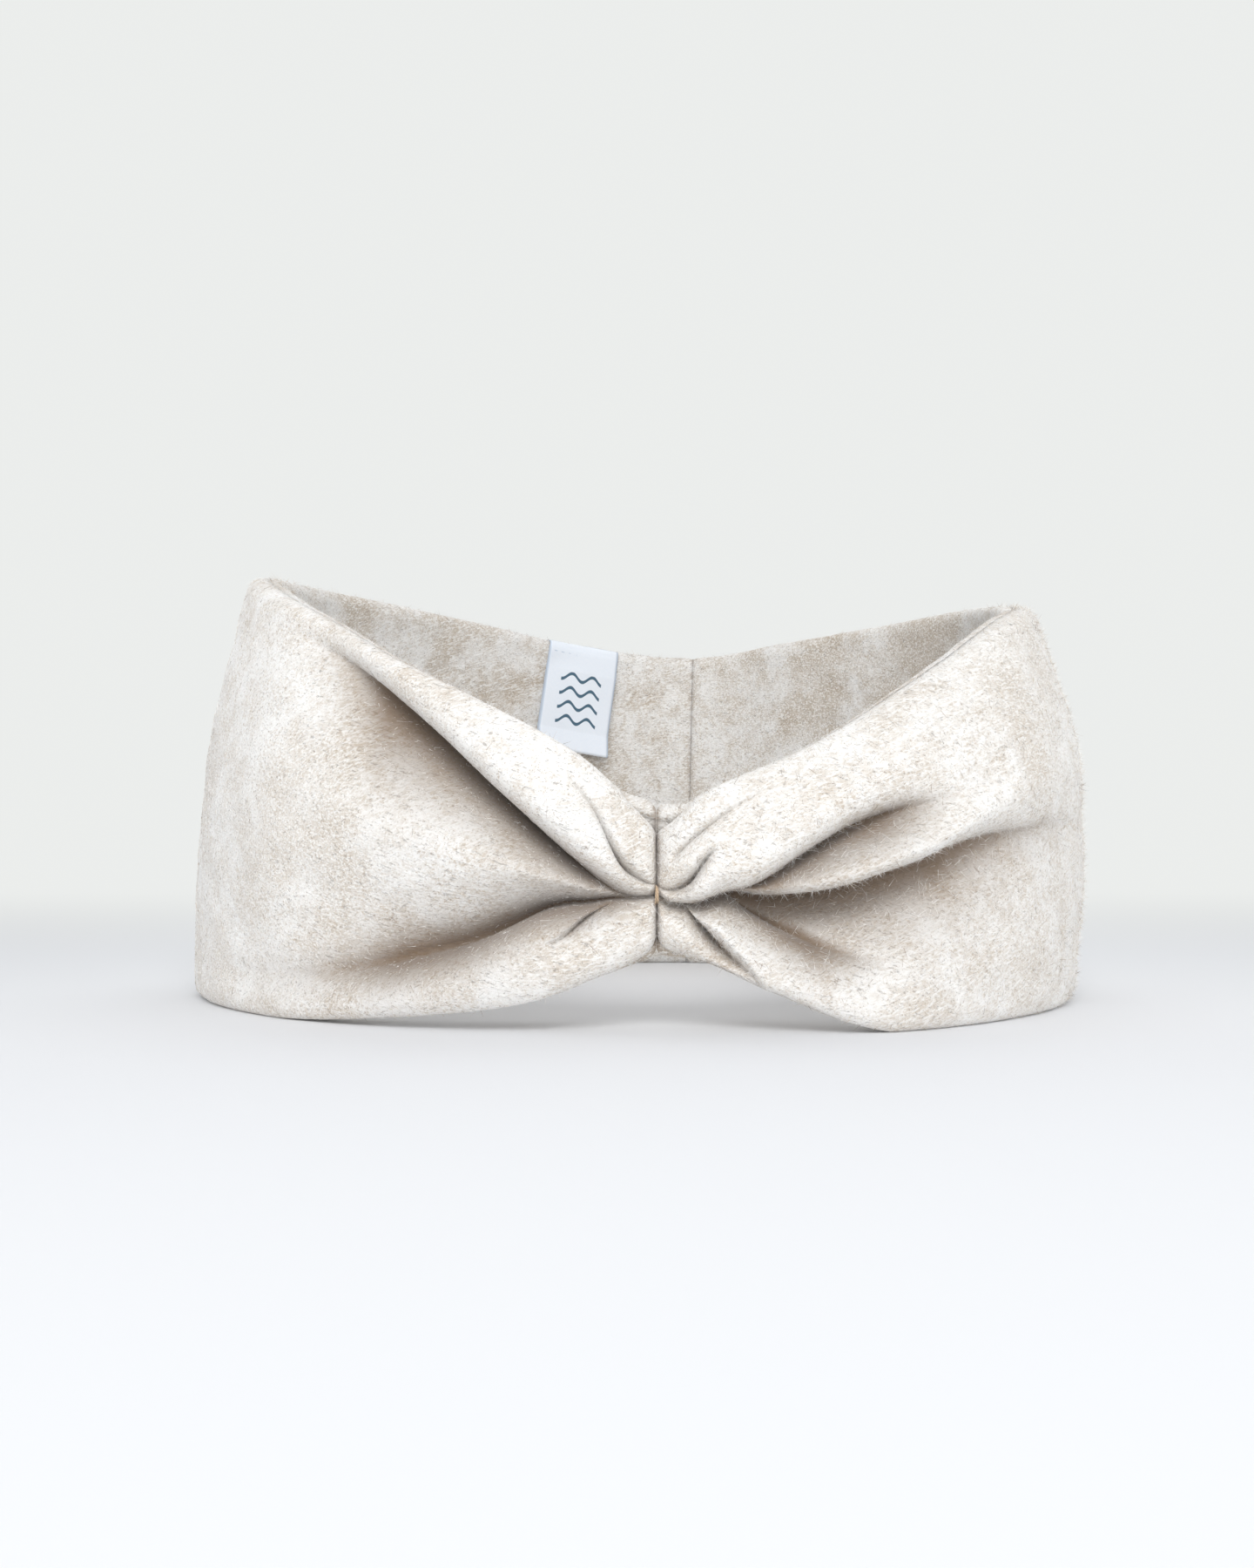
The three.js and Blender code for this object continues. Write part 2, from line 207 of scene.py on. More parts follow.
FULL_SHADE_DEPTH = 11 * MM  # a crease this deep gets the full painted shade, dark brown


def crease_side(x, scoop, tip):
    """Share of a crease's depth at x reaches from its line: 1 at the line, 0 far away."""
    x = np.sqrt(x ** 2 + tip ** 2) - tip
    inside = np.clip(x, 0, 1)
    pillow = 1 - np.maximum(1 - (1 - inside) ** PLUMPNESS, 0) ** (1 / PLUMPNESS)
    hollow = np.exp(-2.2 * x ** 1.5)
    return (1 - scoop) * pillow + scoop * hollow


def creases_at(creases, distance, share, span, soft):
    """How deep the creases press the wall in and how far their rolls hang down, in metres, and how much
    painted shade they get from 0 to 1. soft gives the wide swelling that the lining makes behind them."""
    total = np.zeros(len(distance))
    hang = np.zeros(len(distance))
    shade = np.zeros(len(distance))
    softened = np.clip((distance - SHARP_UNTIL) / (SOFT_FROM - SHARP_UNTIL), 0, 1)
    tip = 0.04 + 0.8 * softened ** 1.5
    for crease in creases:
        at, *columns = (list(column) for column in zip(*crease["rows"]))
        centre, deep, up, down, over = (smooth_between(distance, at, column) for column in columns)
        outside = (distance > at[-1]) | (distance < at[0])
        deep = np.where(outside, 0, np.maximum(deep, 0)) * MM
        over = np.where(outside, 0, np.maximum(over, 0)) * MM
        away = (share - centre) * span
        above, below = crease["scoop"]
        x_up = np.maximum(away, 0) / (np.maximum(up, 1) * MM)
        x_down = np.maximum(-away, 0) / (np.maximum(down, 1) * MM)
        if soft:
            wide = np.maximum(np.where(away > 0, up, down), LINING_REACH)
            near = np.abs(away) / (wide * MM)
            share_of_depth = np.exp(-0.9 * np.maximum(near - 0.25, 0) ** 2)
        else:
            share_of_depth = np.where(away > 0, crease_side(x_up, above, tip),
                                      crease_side(x_down, below, tip))
        total += (deep * share_of_depth) ** 3
        hang += 0.6 * over * 1.8 * x_up * np.exp(1 - 1.8 * x_up)
        # painted shade: strongest at a crease line and fading away from it, in step with the crease's depth
        close = np.exp(-x_up * 4) * (away > 0) + np.exp(-x_down * 1.5) * (away <= 0)
        shade = np.maximum(shade, close * np.clip(deep / FULL_SHADE_DEPTH, 0, 1))
    return np.cbrt(total), hang, shade


def waves(point, length, seed):
    """Slow unevenness from -1 to 1: a few sine waves in fixed directions."""
    draw = np.random.default_rng(seed)
    value = np.zeros(len(point))
    for _ in range(5):
        direction = draw.normal(size=3)
        direction *= 2 * math.pi / (length * np.linalg.norm(direction) * draw.uniform(0.7, 1.4))
        value += np.sin(point @ direction + draw.uniform(0, 2 * math.pi))
    return value / 5


SEAM_DEPTH = {"gather": 3.6 * MM, "back": 0.7 * MM}
SEAM_REACH = {"gather": 3.6 * MM, "back": 1.8 * MM}
NOTCH_HEIGHT = 2.6 * MM  # how far the outer ply's foot is pulled up at the gather
NOTCH_REACH = 4.5 * MM
LIP_HEIGHT = 4.5 * MM  # how much higher the lining stands behind the gather
LIP_REACH = 5 * MM
SEWN_MARGIN = 3 * MM  # how far from an edge the lining still lies against the outer ply
SEWN_FADE = 9 * MM


def band_surface(k, depth, height_share, side, shading=False):
    """Points of one ply: k in stations, depth from the middle of the thickness (metres, positive on the
    side of the ply) and height as a share of the wall. side is 1 for the outer ply, -1 for the lining.
    With shading, it also gives the painted shade at each point, from 0 to 1: how far into a crease it lies,
    and the groove at the gather."""
    low, top = edges(k)
    distance = np.minimum(k % LOOP, LOOP - k % LOOP)
    from_gather = np.minimum(np.linalg.norm((low + top)[:, :2] / 2 - gather_plan, axis=1), 1)
    from_back = np.linalg.norm((low + top)[:, :2] / 2 - back_plan, axis=1)
    if side < 0:
        top[:, 2] += LIP_HEIGHT * np.exp(-(from_gather / LIP_REACH) ** 2)
    span_vector = top - low
    span = np.linalg.norm(span_vector, axis=1)
    groove = (SEAM_DEPTH["gather"] * crease_side(from_gather / SEAM_REACH["gather"], 0, 0.02)
              + SEAM_DEPTH["back"] * crease_side(from_back / SEAM_REACH["back"], 0, 0.02))
    skin = np.clip(depth / EDGE_RADIUS, 0, 1)
    depth = np.maximum(depth - groove * skin, np.minimum(depth, 0.3 * MM))
    # the crest and the foot dip into the seams too
    rim = np.clip(1 - np.minimum(height_share, 1 - height_share) * span / EDGE_RADIUS, 0, 1)
    lift = groove * rim * np.where(height_share > 0.5, -0.6, 0.6)
    if side > 0:
        lift += NOTCH_HEIGHT * np.exp(-from_gather / NOTCH_REACH) * np.clip(1 - height_share / 0.4, 0, 1)
    right = (k % LOOP) < BACK_STATION
    on_right = creases_at(CREASES_RIGHT, distance, height_share, span, False)
    on_left = creases_at(CREASES_LEFT, distance, height_share, span, False)
    press = np.where(right, on_right[0], on_left[0])
    hang = np.where(right, on_right[1], on_left[1])
    if side < 0:
        # the lining keeps to the outer ply along the sewn edges and swells softly between them
        from_edge = np.minimum(height_share, 1 - height_share) * span
        sewn = 1 - np.clip((from_edge - SEWN_MARGIN) / SEWN_FADE, 0, 1)
        sewn = sewn * sewn * (3 - 2 * sewn)
        swell = np.where(right, creases_at(CREASES_RIGHT, distance, height_share, span, True)[0],
                         creases_at(CREASES_LEFT, distance, height_share, span, True)[0])
        press = np.maximum(press, sewn * press + (1 - sewn) * swell)
        hang = hang * sewn
    lift -= hang
    # creases grow shallower at the very crest and foot, where the roll of the edge takes over
    keep = 1 - 0.4 * rim ** 2
    belly = catmull(BELLY, k)[:, 0] * np.sin(math.pi * np.clip(height_share, 0, 1))
    normal = outward(k)
    reach = side * depth + belly - press * keep
    point = low + span_vector * height_share[:, None] + normal * reach[:, None]
    point[:, 2] += lift
    wobble = 0.7 * MM * waves(point, 34 * MM, 5) + 0.25 * MM * waves(point, 11 * MM, 8)
    point += normal * (wobble * np.clip(point[:, 2] / (6 * MM), 0, 1))[:, None]
    point[:, 2] = np.maximum(point[:, 2], 0)
    if shading:
        # painted shade near the crease lines, on the outer ply only
        fold = np.where(right, on_right[2], on_left[2]) * (side > 0)
        # painted shade in the deep groove at the gather, where the tie pinches the band
        seam = 0.7 * np.exp(-from_gather / (0.9 * MM))
        return point, np.clip(np.maximum(fold, seam), 0, 1)
    return point


gather_plan = (sum(edges(np.array([0.0]))) / 2)[0, :2]
back_plan = (sum(edges(np.array([float(BACK_STATION)]))) / 2)[0, :2]

# ---------------------------------------------------------------- felt panels


def new_object(name, bm):
    mesh = bpy.data.meshes.new(name)
    bm.to_mesh(mesh)
    bm.free()
    thing = bpy.data.objects.new(name, mesh)
    bpy.context.scene.collection.objects.link(thing)
    return thing


ROUND_STEPS = 10
WALL_STEPS = 104
HOLLOW_STEPS = 100
FOOT_FLAT = 1.4 * MM
PLY_MEET = 0.05 * MM  # half the gap between the plies where their edges are sewn together
HOLLOW_INSET = FELT_PLY + 0.3 * MM


def ply_section():
    """The closed section of a ply, skin first and then the hollow side, as (depth, share, offset): a
    share of the wall's height with an offset in metres, or of the part named wall or hollow."""
    angles = [math.pi / 2 * i / ROUND_STEPS for i in range(ROUND_STEPS + 1)]
    foot = [(PLY_MEET, 0.0)]
    foot += [(FOOT_FLAT + (EDGE_RADIUS - FOOT_FLAT) * math.sin(a), EDGE_RADIUS * (1 - math.cos(a)))
             for a in angles]
    rows = [(d, 0.0, h) for d, h in foot]
    rows += [(EDGE_RADIUS, i / WALL_STEPS, "wall") for i in range(1, WALL_STEPS)]
    rows += [(d, 1.0, -h) for d, h in reversed(foot)]
    rows.append((PLY_MEET, 1.0, -FELT_PLY))
    rows += [(PLY_SPACE / 2, 1 - i / HOLLOW_STEPS, "hollow") for i in range(HOLLOW_STEPS + 1)]
    rows.append((PLY_MEET, 0.0, FELT_PLY))
    return rows


SECTION = ply_section()
SKIN_ROWS = len(SECTION) - HOLLOW_STEPS - 3
PANEL_STEPS = 300
SEAM_HALF_GAP = 0.05 * MM


def station_length(k):
    ahead, behind = sum(edges(np.array([k + 0.01]))) / 2, sum(edges(np.array([k - 0.01]))) / 2
    return float(np.linalg.norm(ahead - behind)) / 0.02


def felt_panel(name, first, last, side):
    """A closed ply: a tube whose rings become the ply's section and whose length follows the loop."""
    count = len(SECTION)
    bm = bmesh.new()
    bmesh.ops.create_cone(bm, cap_ends=True, cap_tris=False, segments=count,
                          radius1=1, radius2=1, depth=1)
    long_edges = [e for e in bm.edges if abs(e.verts[0].co.z - e.verts[1].co.z) > 0.5]
    bmesh.ops.subdivide_edges(bm, edges=long_edges, cuts=PANEL_STEPS - 1, use_grid_fill=True)
    bm.verts.ensure_lookup_table()
    co = np.array([v.co[:] for v in bm.verts])
    angle = np.arctan2(co[:, 1], co[:, 0])
    angle0 = min(a for a in angle if a >= -1e-6)
    row = np.round((angle - angle0) / (2 * math.pi) * count).astype(int) % count
    share = co[:, 2] + 0.5
    start = first + SEAM_HALF_GAP / station_length(first)
    end = last - SEAM_HALF_GAP / station_length(last)
    # rings crowd together near the gather
    ease = share ** 1.5 if first == 0 else 1 - (1 - share) ** 1.5
    k = start + (end - start) * ease
    low, top = edges(k)
    span = np.linalg.norm(top - low, axis=1)
    if side < 0:
        span = span + LIP_HEIGHT * np.exp(-(np.linalg.norm((low + top)[:, :2] / 2 - gather_plan, axis=1)
                                            / LIP_REACH) ** 2)
    depth = np.array([SECTION[r][0] for r in row])
    height = np.zeros(len(row))
    for index, (_, base, extra) in enumerate(SECTION):
        here = row == index
        if extra in ("wall", "hollow"):
            inset = (EDGE_RADIUS if extra == "wall" else HOLLOW_INSET) / span[here]
            height[here] = inset + (1 - 2 * inset) * base
        else:
            height[here] = base + extra / span[here]
    points, fold_shading = band_surface(k, depth, height, side, shading=True)
    # the fold layer carries the painted shade of the creases and of the groove at the gather
    shade = bm.verts.layers.float.new("fold")
    skin = bm.verts.layers.float.new("skin")
    for vert, point, fold, r in zip(bm.verts, points, fold_shading, row):
        vert.co = point
        vert[shade] = fold
        vert[skin] = 1.0 if 0 < r < SKIN_ROWS else 0.0
    bmesh.ops.recalc_face_normals(bm, faces=bm.faces)
    for face in bm.faces:
        face.smooth = len(face.verts) == 4
    return new_object(name, bm)


panels = {
    "outer_right": felt_panel("felt_outer_right", 0, BACK_STATION, 1),
    "outer_left": felt_panel("felt_outer_left", BACK_STATION, LOOP, 1),
    "lining_right": felt_panel("felt_lining_right", 0, BACK_STATION, -1),
    "lining_left": felt_panel("felt_lining_left", BACK_STATION, LOOP, -1),
}

# ---------------------------------------------------------------- materials


def material(name, roughness):
    made = bpy.data.materials.new(name)
    made.use_nodes = True
    tree = made.node_tree
    shader = tree.nodes["Principled BSDF"]
    shader.inputs["Roughness"].default_value = roughness
    return made, tree, shader


def add(tree, kind, **values):
    node = tree.nodes.new(kind)
    for key, value in values.items():
        if hasattr(node, key):
            setattr(node, key, value)
        else:
            node.inputs[key].default_value = value
    return node


def noise(tree, vector, scale, detail=2.0, rough=0.5, distortion=0.0):
    node = add(tree, "ShaderNodeTexNoise")
    node.inputs["Scale"].default_value = scale
    node.inputs["Detail"].default_value = detail
    node.inputs["Roughness"].default_value = rough
    node.inputs["Distortion"].default_value = distortion
    tree.links.new(vector, node.inputs["Vector"])
    return node.outputs["Fac"]


def ramp(tree, value, low, high):
    """0 below low, 1 above high."""
    node = add(tree, "ShaderNodeMapRange")
    node.interpolation_type = "SMOOTHSTEP"
    node.inputs["From Min"].default_value = low
    node.inputs["From Max"].default_value = high
    tree.links.new(value, node.inputs["Value"])
    return node.outputs["Result"]


def mix(tree, factor, first, second, strength=1.0):
    """Colour first turning into colour second as factor goes to 1."""
    node = add(tree, "ShaderNodeMix")
    node.data_type = "RGBA"
    if strength != 1.0:
        scale = add(tree, "ShaderNodeMath", operation="MULTIPLY")
        scale.inputs[1].default_value = strength
        tree.links.new(factor, scale.inputs[0])
        factor = scale.outputs[0]
    tree.links.new(factor, node.inputs["Factor"])
    for value, socket in ((first, node.inputs["A"]), (second, node.inputs["B"])):
        if isinstance(value, tuple):
            socket.default_value = (*value, 1)
        else:
            tree.links.new(value, socket)
    return node.outputs["Result"]


def math_node(tree, operation, *values):
    node = add(tree, "ShaderNodeMath", operation=operation)
    for socket, value in zip(node.inputs, values):
        if isinstance(value, (int, float)):
            socket.default_value = value
        else:
            tree.links.new(value, socket)
    return node.outputs[0]


def streaks(tree, coordinates, turn, scale, stretch):
    """Fibre-shaped noise: fine across, long along a direction turned by turn."""
    turned = add(tree, "ShaderNodeMapping")
    turned.inputs["Rotation"].default_value = turn
    tree.links.new(coordinates, turned.inputs["Vector"])
    drawn = add(tree, "ShaderNodeMapping")
    drawn.inputs["Scale"].default_value = (scale, scale, scale / stretch)
    tree.links.new(turned.outputs["Vector"], drawn.inputs["Vector"])
    return noise(tree, drawn.outputs["Vector"], 1.0, detail=2.0, rough=0.6, distortion=0.4)


CREAM = (0.88, 0.868, 0.845)
OATMEAL = (0.50, 0.405, 0.30)
GREY_FIBRE = (0.22, 0.20, 0.19)
BROWN_FIBRE = (0.28, 0.19, 0.12)
WHITE_FIBRE = (0.92, 0.91, 0.89)
# dark brown painted into the creases as their shade
PAINTED_FOLD_SHADE = (0.18, 0.115, 0.065)


def felt_material(name, shade, mottle):
    """Cream felt with oatmeal patches and flecks, and fibres that lie in every direction. Painted dark-brown
    shade fills the creases where the fold attribute marks them, and shade below 1 paints the whole felt
    darker.
    """
    made, tree, shader = material(name, 0.95)
    here = add(tree, "ShaderNodeTexCoord").outputs["Object"]
    patches = ramp(tree, noise(tree, here, 46, 4, 0.62, 0.5), 0.42, 0.64)
    cloudy = ramp(tree, noise(tree, here, 150, 4, 0.65, 0.4), 0.42, 0.66)
    heather = ramp(tree, noise(tree, here, 1150, 4, 0.72, 0.6), 0.44, 0.66)
    flecked = ramp(tree, noise(tree, here, 90, 3, 0.6, 0.3), 0.40, 0.62)
    # shade below 1 darkens the whole felt: painted shade
    cream, oatmeal = (tuple(c * shade for c in colour) for colour in (CREAM, OATMEAL))
    base = mix(tree, patches, cream, oatmeal, mottle)
    base = mix(tree, cloudy, base, oatmeal, 0.8 * mottle)
    base = mix(tree, math_node(tree, "MULTIPLY", heather, math_node(tree, "ADD", flecked, 0.35)),
               base, oatmeal, 0.52)
    turns = [(0.3, 1.2, 0.1), (1.4, 0.2, 2.1), (2.4, 0.9, 1.0), (0.9, 2.2, 2.8), (1.9, 1.6, 0.6)]
    fibres = [(GREY_FIBRE, 0.59, 0.66, 0.50), (BROWN_FIBRE, 0.60, 0.67, 0.46), (GREY_FIBRE, 0.62, 0.68, 0.42),
              (WHITE_FIBRE, 0.50, 0.62, 0.7), (WHITE_FIBRE, 0.52, 0.64, 0.6)]
    bumps = []
    for turn, (colour, low, high, strength) in zip(turns, fibres):
        field = streaks(tree, here, turn, 2500, 6)
        bumps.append(field)
        base = mix(tree, ramp(tree, field, low, high), base, colour, strength)
    # painted shade: creases and the groove at the gather turn dark brown by the fold attribute
    fold = add(tree, "ShaderNodeAttribute")
    fold.attribute_name = "fold"
    base = mix(tree, ramp(tree, fold.outputs["Fac"], 0.08, 0.9), base, PAINTED_FOLD_SHADE, 0.9)
    tree.links.new(base, shader.inputs["Base Color"])
    lumps = noise(tree, here, 650, 3, 0.6)
    relief = math_node(tree, "ADD", math_node(tree, "ADD", bumps[0], bumps[3]), lumps)
    bump = add(tree, "ShaderNodeBump")
    bump.inputs["Strength"].default_value = 0.5
    bump.inputs["Distance"].default_value = 0.4 * MM
    tree.links.new(relief, bump.inputs["Height"])
    tree.links.new(bump.outputs["Normal"], shader.inputs["Normal"])
    shader.inputs["Sheen Weight"].default_value = 0.35
    shader.inputs["Sheen Roughness"].default_value = 0.55
    shader.inputs["Specular IOR Level"].default_value = 0.15
    return made


felt = felt_material("oatmeal_felt", 1.0, 0.42)
# the lining is the same felt painted a shade darker, as shade for the inside of the loop, and with stronger
# mottling
lining_felt = felt_material("oatmeal_felt_lining", 0.93, 0.72)
for node, piece in panels.items():
    piece.data.materials.append(felt if node.startswith("outer") else lining_felt)
    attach(piece, "band")
    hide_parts(node)

# ---------------------------------------------------------------- threads


def tube(bm, path, radius, sides=8):
    """A rod with closed ends along a smooth path of points."""
    path = np.asarray(path, float)
    earlier = len(bm.verts)
    made = bmesh.ops.create_cone(bm, cap_ends=True, cap_tris=False, segments=sides,
                                 radius1=1, radius2=1, depth=1)
    rod = {edge for vert in made["verts"] for edge in vert.link_edges}
    long_edges = [e for e in rod if abs(e.verts[0].co.z - e.verts[1].co.z) > 0.5]
    bmesh.ops.subdivide_edges(bm, edges=long_edges, cuts=len(path) - 2, use_grid_fill=True)
    verts = list(bm.verts)[earlier:]
    tangents = np.gradient(path, axis=0)
    tangents /= np.linalg.norm(tangents, axis=1)[:, None]
    aside = np.cross(tangents[0], (0.3, 0.2, 0.9))
    frames = []
    for tangent in tangents:
        aside = aside - tangent * (aside @ tangent)
        aside /= np.linalg.norm(aside)
        frames.append((aside.copy(), np.cross(tangent, aside)))
    for vert in verts:
        ring = int(round((vert.co.z + 0.5) * (len(path) - 1)))
        first, second = frames[ring]
        vert.co = path[ring] + radius * (first * vert.co.x + second * vert.co.y)


def finished(name, bm):
    bmesh.ops.recalc_face_normals(bm, faces=bm.faces)
    for face in bm.faces:
        face.smooth = len(face.verts) == 4
    return new_object(name, bm)


def thread_material(name, colour, dark, twist):
    """Plied thread: slanting bands of light and shade round a soft strand."""
    made, tree, shader = material(name, 0.75)
    here = add(tree, "ShaderNodeTexCoord").outputs["Object"]
    turned = add(tree, "ShaderNodeMapping")
    turned.inputs["Rotation"].default_value = (0.6, 0.5, 0.3)
    tree.links.new(here, turned.inputs["Vector"])
    bands = add(tree, "ShaderNodeTexWave")
    bands.inputs["Scale"].default_value = twist
    bands.inputs["Distortion"].default_value = 1.5
    tree.links.new(turned.outputs["Vector"], bands.inputs["Vector"])
    fuzz = noise(tree, here, 5000, 2, 0.6)
    base = mix(tree, bands.outputs["Fac"], dark, colour)
    base = mix(tree, fuzz, base, dark, 0.25)
    tree.links.new(base, shader.inputs["Base Color"])
    bump = add(tree, "ShaderNodeBump")
    bump.inputs["Strength"].default_value = 0.6
    bump.inputs["Distance"].default_value = 0.06 * MM
    tree.links.new(bands.outputs["Fac"], bump.inputs["Height"])
    tree.links.new(bump.outputs["Normal"], shader.inputs["Normal"])
    shader.inputs["Sheen Weight"].default_value = 0.3
    return made


THREAD_RADIUS = 0.25 * MM
THREAD_INSET = FELT_PLY + 0.85 * MM
seam_cotton = thread_material("seam_cotton", (0.66, 0.60, 0.50), (0.40, 0.34, 0.26), 900)
tie_cotton = thread_material("tie_cotton", (0.74, 0.56, 0.38), (0.45, 0.32, 0.2), 900)


def sew(node, name, paths, radius, cotton):
    bm = bmesh.new()
    for path in paths:
        tube(bm, path, radius)
    piece = finished(name, bm)
    piece.data.materials.append(cotton)
    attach(piece, "band")
    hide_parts(node)
    return piece


def edge_path(at_top):
    k = np.linspace(0.05, LOOP - 0.05, 700)
    low, top = edges(k)
    inset = THREAD_INSET / np.linalg.norm(top - low, axis=1)
    return band_surface(k, np.zeros(len(k)), 1 - inset if at_top else inset, 1)


def seam_path(k, depth, side, count=60):
    low, top = edges(np.array([float(k)]))
    inset = THREAD_INSET / np.linalg.norm(top - low)
    share = np.linspace(inset, 1 - inset, count)
    return band_surface(np.full(count, float(k)), np.full(count, depth), share, side)


sew("top_edge_thread", "thread_top_edge", [edge_path(True)], THREAD_RADIUS, seam_cotton)
sew("bottom_edge_thread", "thread_bottom_edge", [edge_path(False)], THREAD_RADIUS, seam_cotton)
sew("front_seam_thread", "thread_front_seam", [seam_path(0.0, 0.0, 1)], THREAD_RADIUS, seam_cotton)
sew("outer_back_seam_thread", "thread_back_seam_outer", [seam_path(BACK_STATION, 1.6 * MM, 1)],
    THREAD_RADIUS, seam_cotton)
sew("lining_back_seam_thread", "thread_back_seam_lining", [seam_path(BACK_STATION, 1.6 * MM, -1)],
    THREAD_RADIUS, seam_cotton)

# the tie: three turns of thread round the pinched middle of the gather
TIE_TURNS = 3
TIE_REACH = 1.8 * MM
tie_middle = (sum(edges(np.array([0.0]))) / 2)[0]
tie_middle[2] = GATHER_LIFT + GATHER_HEIGHT * 0.475
tie_loops = []
for turn in range(TIE_TURNS):
    sweep = np.linspace(0, 2 * math.pi * 0.98, 60) + math.pi
    bow = 0.9 + 0.1 * math.cos(turn * 2.0)
    tie_loops.append(np.stack([
        tie_middle[0] + (turn - 1) * 0.17 * MM + 0.10 * MM * np.sin(sweep + turn),
        tie_middle[1] - (EDGE_RADIUS - 1.0 * MM) * np.sign(np.cos(sweep)) * np.abs(np.cos(sweep)) ** 0.5,
        tie_middle[2] + TIE_REACH * bow * np.sin(sweep)], 1))
sew("gather_tie", "tie_stitch", tie_loops, 0.105 * MM, tie_cotton)

# ---------------------------------------------------------------- label

pivot = np.array(hinge["pos_m"])
across = -np.array(hinge["axis"])
across /= np.linalg.norm(across)
inward = np.array([across[1], -across[0], 0.0])
LABEL_WIDTH = 22 * MM
LABEL_DROP = 31.0  # millimetres from the top end to the fold
LABEL_TURN_FROM = 25.5  # millimetres down, where the ribbon starts to stand off the wall
RIBBON_COLUMNS = 22
LABEL_TILT = math.radians(8)
LABEL_TOP = np.array([0.1 * MM, 4.9 * MM])  # of the pivot, along the wall and up
lining_tree = BVHTree.FromPolygons(
    [v.co for v in panels["lining_left"].data.vertices],
    [list(face.vertices) for face in panels["lining_left"].data.polygons])


def on_label(u, v, out):
    """u across, v down and out from the wall, all in metres."""
    along = LABEL_TOP[0] + u * math.cos(LABEL_TILT) - v * math.sin(LABEL_TILT)
    up = LABEL_TOP[1] - u * math.sin(LABEL_TILT) - v * math.cos(LABEL_TILT)
    return pivot + across * along + np.array([0, 0, up]) + inward * out


def wall_behind(u, v):
    """How far out the lining stands behind a point of the label."""
    origin = Vector(on_label(u, v, 30 * MM))
    hit = lining_tree.ray_cast(origin, Vector(-inward), 60 * MM)
    return (30 * MM - hit[3]) if hit[3] is not None else -6 * MM


def label_path():
    """Rows of (v, offset from the hanging line): front ply, fold, back ply."""
    front = [(v, 0.45) for v in np.linspace(-0.7, LABEL_DROP, 110)]
    fold = [(LABEL_DROP + 0.75 * math.sin(a), 0.05 + 0.4 * math.cos(a) + 0.35 * (math.cos(a) - 1))
            for a in np.linspace(0, math.pi, 14)[1:-1]]
    back = [(v, -0.9 + 0.3 * (LABEL_DROP - v) / 30) for v in np.linspace(LABEL_DROP, 1.6, 70)]
    return [(v * MM, out * MM) for v, out in front + fold + back]


def ribbon_stand(column, drop, wall):
    """How far the ribbon's line hangs out, drop millimetres down it, over a wall that stands out by wall."""
    near = wall + 0.45 * MM
    if drop <= 1.5:
        return near
    turn = max(0.0, drop - LABEL_TURN_FROM)
    hang = (-1.05 - 0.015 * drop + 0.42 * turn - 0.012 * turn ** 2
            + 0.35 * math.sin(column * 2.6 + drop * 0.1)
            + 0.5 * (column - 0.5) * (drop / LABEL_DROP) ** 2) * MM
    stand = max(hang, wall + 0.75 * MM)
    if drop < 8:
        stand = max(near, stand * (drop - 1.5) / 6.5 + (wall + 0.5 * MM) * (8 - drop) / 6.5)
    return stand


def ribbon():
    """The loop of ribbon, as one grid that follows the front ply, the fold and the back ply."""
    rows = label_path()
    bm = bmesh.new()
    bmesh.ops.create_grid(bm, x_segments=RIBBON_COLUMNS, y_segments=len(rows) - 1, size=0.5, calc_uvs=True)
    places = {}
    uv_layer = bm.loops.layers.uv.verify()
    lengths = [0.0]
    for (v0, o0), (v1, o1) in zip(rows, rows[1:]):
        lengths.append(lengths[-1] + math.hypot(v1 - v0, o1 - o0))
    for vert in bm.verts:
        column = round((vert.co.x + 0.5) * RIBBON_COLUMNS) / RIBBON_COLUMNS
        row = int(round((vert.co.y + 0.5) * (len(rows) - 1)))
        v, out = rows[row]
        u = (column - 0.5) * LABEL_WIDTH
        wall = wall_behind(u, v)
        stand = ribbon_stand(column, v / MM, wall)
        places[vert] = on_label(u, v, max(stand + out, wall + 0.2 * MM))
        for loop in vert.link_loops:
            loop[uv_layer].uv = (column * LABEL_WIDTH / MM / 10, lengths[row] / MM / 10)
    for vert, place in places.items():
        vert.co = place
    bmesh.ops.recalc_face_normals(bm, faces=bm.faces)
    for face in bm.faces:
        face.smooth = True
    made = new_object("label_ribbon", bm)
    thick = made.modifiers.new("cloth", "SOLIDIFY")
    thick.thickness = 0.24 * MM
    thick.offset = 0
    return made


